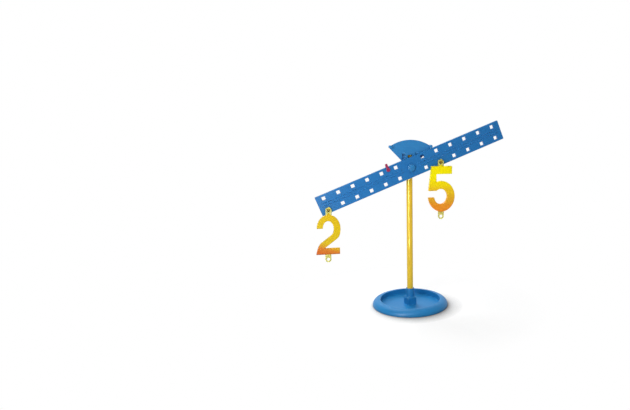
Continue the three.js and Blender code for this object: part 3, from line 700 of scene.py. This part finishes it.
# %% Beam
BEAM_LENGTH, HOLE, ROW, BORE = 360.0, 6.5, 10.6, 3.3
FIRST_COLUMN, PITCH = 26.0, 28.0
COLUMNS = FIRST_COLUMN + PITCH * np.arange(6)
BAR_CORNER, HOLE_CORNER, BAR_EDGE = 0.9, 0.5, 0.35
RIB_START, RIB_END, RIB_ROW, RIB_WIDTH, RIB_HEIGHT = 14, 174, 2.6, 2.0, 0.8
RIB_SINK, RIB_RUN_OUT = 0.05, 1.5
BOSS_RADIUS, BOSS_SINK, BOSS_SIDES = 8.0, 0.1, 72


def tilted(points):
    """Turns level points (u, depth, v) about the pivot, for a tilt t: x = u cos t - v sin t and
    z = pivot + u sin t + v cos t."""
    u, d, v = np.asarray(points, float).T
    c, s = math.cos(TILT), math.sin(TILT)
    return np.stack([u * c - v * s, -d, PIVOT + u * s + v * c], 1)


bar_outline = oblong(0, 0, BEAM_LENGTH, BEAM_WIDTH, BAR_CORNER)
holes = [oblong(s * u, v, HOLE, HOLE, HOLE_CORNER) for u in COLUMNS for s in (-1, 1) for v in (-ROW, ROW)]
holes.append(circle(0, 0, BORE))
bar = plate(bar_outline, holes, BEAM_BACK, BEAM_FRONT, BAR_EDGE, steps=3)


def rib(start, end, v):
    """A shallow rib on the front: a low arch across, (1 - w^2)^2 of the height at w from -1 to 1, with its
    ends run out smoothly."""
    along = np.linspace(0, 1, 61)[:, None]
    w = np.linspace(-1, 1, 13)[None, :]
    fade = np.clip(np.minimum(along, 1 - along) * abs(end - start) / RIB_RUN_OUT, 0, 1) ** 0.5
    u = start + (end - start) * along + 0 * w
    z = v + w * RIB_WIDTH / 2 + 0 * along
    depth = BEAM_FRONT - RIB_SINK + (RIB_HEIGHT + RIB_SINK) * (1 - w**2) ** 2 * fade
    points = np.stack([u, depth, z], -1)
    index = np.arange(points[..., 0].size).reshape(points.shape[:2])
    quads = np.stack([index[:-1, :-1], index[1:, :-1], index[1:, 1:], index[:-1, 1:]], -1).reshape(-1, 4)
    return points.reshape(-1, 3), quads


boss_front = BEAM_BACK + BOSS_SINK
boss = soften([(BORE, JOURNAL_BACK), (BOSS_RADIUS, JOURNAL_BACK), (BOSS_RADIUS, boss_front),
               (BORE, boss_front)], [STEP_ROUND, EDGE_ROUND, 0, 0])
points, quads = turned(boss, BOSS_SIDES)
hub = (np.stack([points[:, 0], points[:, 2], points[:, 1]], 1), quads)
ribs = [rib(s * RIB_START, s * RIB_END, v) for s in (-1, 1) for v in (-RIB_ROW, RIB_ROW)]
points, faces = gather(bar, hub, *ribs)
beam = finish_mesh("bar_with_holes", tilted(points), faces, "beam_arm", "beam")
beam.data.materials.append(beam_blue)

# %% [markdown]
# ## The rider
# A small magenta clip that grips the top edge. Slid along, it trims the balance until the empty beam
# hangs level.

# %% Rider
rounded_copy("tare_rider", "rider_clip", "rider", RIDER_EDGE, rider_magenta)

# %% [markdown]
# ## The numerals
# Each is a flat plate with soft edges and a ring at the top and the foot. The outlines come from ellipse
# arcs and a few straight cuts, as lettering is drawn: an outer arc, an inner arc, and flat ends where the
# stroke stops.

# %% Strokes
TWO_HEIGHT, FIVE_HEIGHT, NUMERAL_BACK = 72.0, 83.4, 21.3
STROKE_CORNER, STROKE_EDGE = 0.8, 0.7
RING, RING_HOLE, LOW_STAND, RING_DEPTH, RING_ROOT, RING_EDGE = 5.4, 2.9, 9.3, 3.0, 3.0, 0.5
RING_MARGIN = 0.05  # how far outside the stroke a face lies that has the rings' plastic


def bow(start, corner, end, count=20):
    """A quadratic curve between two points, drawn towards the corner between them."""
    t = np.linspace(0, 1, count)[:, None]
    return (1 - t) ** 2 * np.array(start) + 2 * t * (1 - t) * np.array(corner) + t**2 * np.array(end)


def two():
    """Foot bar, the diagonal's lower edge, the outer arc, the cut tip, the inner arc and the diagonal's upper
    edge."""
    radius, rise = 21.0, 24.5
    mid = TWO_HEIGHT - rise
    bar_left, bar_right, bar_top, notch, heel = -23.5, 18.9, 11.5, -8.2, -13.7
    left_stroke, right_stroke, top_stroke, diagonal_stroke = 10.8, 12.3, 11.2, 11.4
    diagonal, diagonal_run = math.radians(36.5), 23
    inner_l, inner_r = radius - left_stroke, radius - right_stroke
    slope = math.tan(diagonal)
    lift = diagonal_stroke / math.cos(diagonal)

    def upper(x):
        """The height of the diagonal's upper edge."""
        return bar_top + lift + (x - notch) * slope

    low = (notch + diagonal_run, bar_top + diagonal_run * slope)
    centre, half = (inner_r - inner_l) / 2, (inner_r + inner_l) / 2
    bend = centre + half / 2
    turn = (heel + bar_left) / 2 + (bar_left - heel) / 6
    return np.concatenate([
        [(bar_left, 0), (bar_right, 0), (bar_right, bar_top), (notch, bar_top)],
        bow(low, (radius, low[1] + (radius - low[0]) * slope), (radius, mid)),
        arc(0, mid, radius, rise, 0, np.pi)[1:],
        arc(centre, mid, half, rise - top_stroke, np.pi, 0),
        bow((inner_r, mid), (inner_r, upper(inner_r)), (bend, upper(bend)))[1:],
        bow((heel, upper(heel)), (turn, upper(turn)), (bar_left, 0))[:-1]])


def five():
    """Top bar, stem, inner bowl, cut tip and outer bowl."""
    bowl_x, bowl_z, bar_stroke = 49.2, 56.4, 14.4
    top_stroke, low_stroke, side_stroke, tip_stroke = 14.5, 13.9, 14.0, 11.0
    foot_z, tip_z, bar_low, bar_right, stem_in = 38.6, 26.4, FIVE_HEIGHT - bar_stroke, 19.4, -9.5
    bar_left, stem_left = -18.6, -24.2
    outer_x, outer_z = bowl_x / 2, bowl_z / 2
    inner_x, inner_z = (bowl_x - side_stroke - tip_stroke) / 2, (bowl_z - top_stroke - low_stroke) / 2
    mid_x, mid_z = (tip_stroke - side_stroke) / 2, low_stroke + inner_z
    foot = math.pi - math.asin((foot_z - mid_z) / inner_z)
    tip_in = -math.pi - math.asin((tip_z - mid_z) / inner_z)
    tip_out = -math.pi - math.asin((tip_z - outer_z) / outer_z)
    return np.concatenate([
        [(bar_left, FIVE_HEIGHT), (stem_left, foot_z)],
        arc(mid_x, mid_z, inner_x, inner_z, foot, tip_in, count=72),
        arc(0, outer_z, outer_x, outer_z, tip_out, math.acos(stem_in / outer_x), count=90),
        [(stem_in, bar_low), (bar_right, bar_low), (bar_right, FIVE_HEIGHT)]])


def round_corners(outline, radius, sharp=25):
    """Rounds only those corners that turn by more than that many degrees."""
    side = np.roll(outline, -1, 0) - outline
    heading = np.arctan2(side[:, 1], side[:, 0])
    bend = np.abs((heading - np.roll(heading, 1) + np.pi) % (2 * np.pi) - np.pi)
    return soften(outline, np.where(bend > math.radians(sharp), radius, 0))


# %% Numeral pieces
def numeral(name, node, side, outline, tall, thick, top_stand, low_x, stops, lean):
    """The outline's plate and its two rings, set where the measured solid is. Its box gives the left edge and
    the foot, and the peg's box the place of the upper ring. The rings' middles are top_stand above the
    numeral and LOW_STAND below it, the lower one at low_x from the outline's own origin."""
    low = np.array(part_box(node)[0]) / MM
    x_shift, z_shift = low[0] - outline[:, 0].min(), low[2] + LOW_STAND + RING
    main = plate(round_corners(outline, STROKE_CORNER) + [x_shift, z_shift], [],
                 NUMERAL_BACK, NUMERAL_BACK + thick, STROKE_EDGE)
    peg_low, peg_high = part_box("hanger_peg_" + side)
    peg_x = (peg_low[0] + peg_high[0]) / 2 / MM
    tabs = []
    for x, z, root in ((peg_x, z_shift + tall + top_stand, z_shift + tall - RING_ROOT),
                       (x_shift + low_x, z_shift - LOW_STAND, z_shift + RING_ROOT)):
        end = math.pi if z > root else -math.pi
        over = arc(x, z, RING, RING, 0, end, count=33)
        tab = np.concatenate([over, [(x - RING, root), (x + RING, root)]])
        tabs.append(plate(tab, [circle(x, z, RING_HOLE)], NUMERAL_BACK, NUMERAL_BACK + RING_DEPTH, RING_EDGE))
    points, faces = gather(main, *tabs)
    piece = finish_mesh(name, forward(points), faces, "numeral_" + side, node)
    middle = (outline[:, 0].min() + outline[:, 0].max()) / 2 + x_shift
    piece.data.materials.append(sunset(name + "_finish", z_shift, z_shift + tall, stops, lean, middle))
    piece.data.materials.append(ring_clear)
    height = np.array([face.center.z for face in piece.data.polygons]) / MM
    ring = (height > z_shift + tall + RING_MARGIN) | (height < z_shift - RING_MARGIN)
    piece.data.polygons.foreach_set("material_index", ring.astype(np.int32))
    return piece


two_stops = [(0.0, paint(211, 103, 26)), (0.15, paint(215, 125, 34)), (0.22, paint(218, 162, 28)),
             (0.32, paint(217, 184, 20)), (0.65, paint(222, 190, 9)), (1.0, paint(223, 185, 10))]
five_stops = [(0.0, paint(243, 141, 38)), (0.14, paint(242, 149, 38)), (0.3, paint(231, 170, 40)),
              (0.5, paint(244, 200, 32)), (0.66, paint(252, 226, 5)), (0.85, paint(255, 243, 1)),
              (1.0, paint(255, 236, 1))]
numeral("two_plate", "numeral_2", "left", two(), TWO_HEIGHT, thick=4.0, top_stand=8.0, low_x=-2.3,
        stops=two_stops, lean=0.3)
numeral("five_plate", "numeral_5", "right", five(), FIVE_HEIGHT, thick=7.6, top_stand=6.7, low_x=0.0,
        stops=five_stops, lean=0.08)

# %% [markdown]
# ## The floor
# A wide pale disc. The camera sees it as white, and only where the balance takes the light away does it
# darken. Close to the skirt its colour also falls with the open sky above it, to a power of about two and
# a half, and that draws the narrow contact shadow. The sky is counted round a direction that leans to the
# back and the left, so the shadow is deepest in front and on the right. Further out the floor fades into
# plain white.

# %% Floor
FLOOR_RADII, FLOOR_SIDES = (0, 300, 900, 2600), 96
SKY_LEAN = {"X": -0.26, "Y": 0.45, "Z": 0.8}
CONTACT_REACH, CONTACT_SAMPLES, CONTACT_POWER = 0.032, 16, 2.4
FLOOR_TONE, FLOOR_LIFT = 0.93, 0.1
FADE_START, FADE_END = 0.12, 0.26  # in metres from the tube

points, quads = turned([(radius, 0) for radius in FLOOR_RADII], FLOOR_SIDES)
floor_mesh = bpy.data.meshes.new("floor")
floor_mesh.from_pydata((points * MM).tolist(), [], quads.tolist())
floor = bpy.data.objects.new("floor", floor_mesh)
bpy.context.scene.collection.objects.link(floor)
pale = bpy.data.materials.new("pale_floor")
pale.use_nodes = True
nodes, links = pale.node_tree.nodes, pale.node_tree.links
nodes.clear()
matte = nodes.new("ShaderNodeBsdfDiffuse")
sky = nodes.new("ShaderNodeCombineXYZ")
for axis, share in SKY_LEAN.items():
    sky.inputs[axis].default_value = share
contact = nodes.new("ShaderNodeAmbientOcclusion")
contact.inputs["Distance"].default_value = CONTACT_REACH
contact.samples = CONTACT_SAMPLES
deeper = maths(nodes, "POWER", CONTACT_POWER)
tone = maths(nodes, "MULTIPLY", FLOOR_TONE)
glow = nodes.new("ShaderNodeEmission")
glow.inputs["Color"].default_value = (1, 1, 1, 1)
seen = looked_at(nodes, links)
lift = maths(nodes, "MULTIPLY", FLOOR_LIFT)
near = nodes.new("ShaderNodeAddShader")
white = nodes.new("ShaderNodeEmission")
place = nodes.new("ShaderNodeTexCoord")
reach = nodes.new("ShaderNodeVectorMath")
reach.operation = "LENGTH"
fade = nodes.new("ShaderNodeMapRange")
fade.inputs["From Min"].default_value = FADE_START
fade.inputs["From Max"].default_value = FADE_END
shown = maths(nodes, "MULTIPLY")
mix = nodes.new("ShaderNodeMixShader")
out = nodes.new("ShaderNodeOutputMaterial")
links.new(seen, lift.inputs[0])
links.new(lift.outputs[0], glow.inputs["Strength"])
links.new(sky.outputs[0], contact.inputs["Normal"])
links.new(contact.outputs["AO"], deeper.inputs[0])
links.new(deeper.outputs[0], tone.inputs[0])
links.new(tone.outputs[0], matte.inputs["Color"])
links.new(matte.outputs[0], near.inputs[0])
links.new(glow.outputs[0], near.inputs[1])
links.new(place.outputs["Object"], reach.inputs[0])
links.new(reach.outputs["Value"], fade.inputs["Value"])
links.new(fade.outputs["Result"], shown.inputs[0])
links.new(seen, shown.inputs[1])
links.new(shown.outputs[0], mix.inputs["Fac"])
links.new(near.outputs[0], mix.inputs[1])
links.new(white.outputs[0], mix.inputs[2])
links.new(mix.outputs[0], out.inputs["Surface"])
floor_mesh.materials.append(pale)
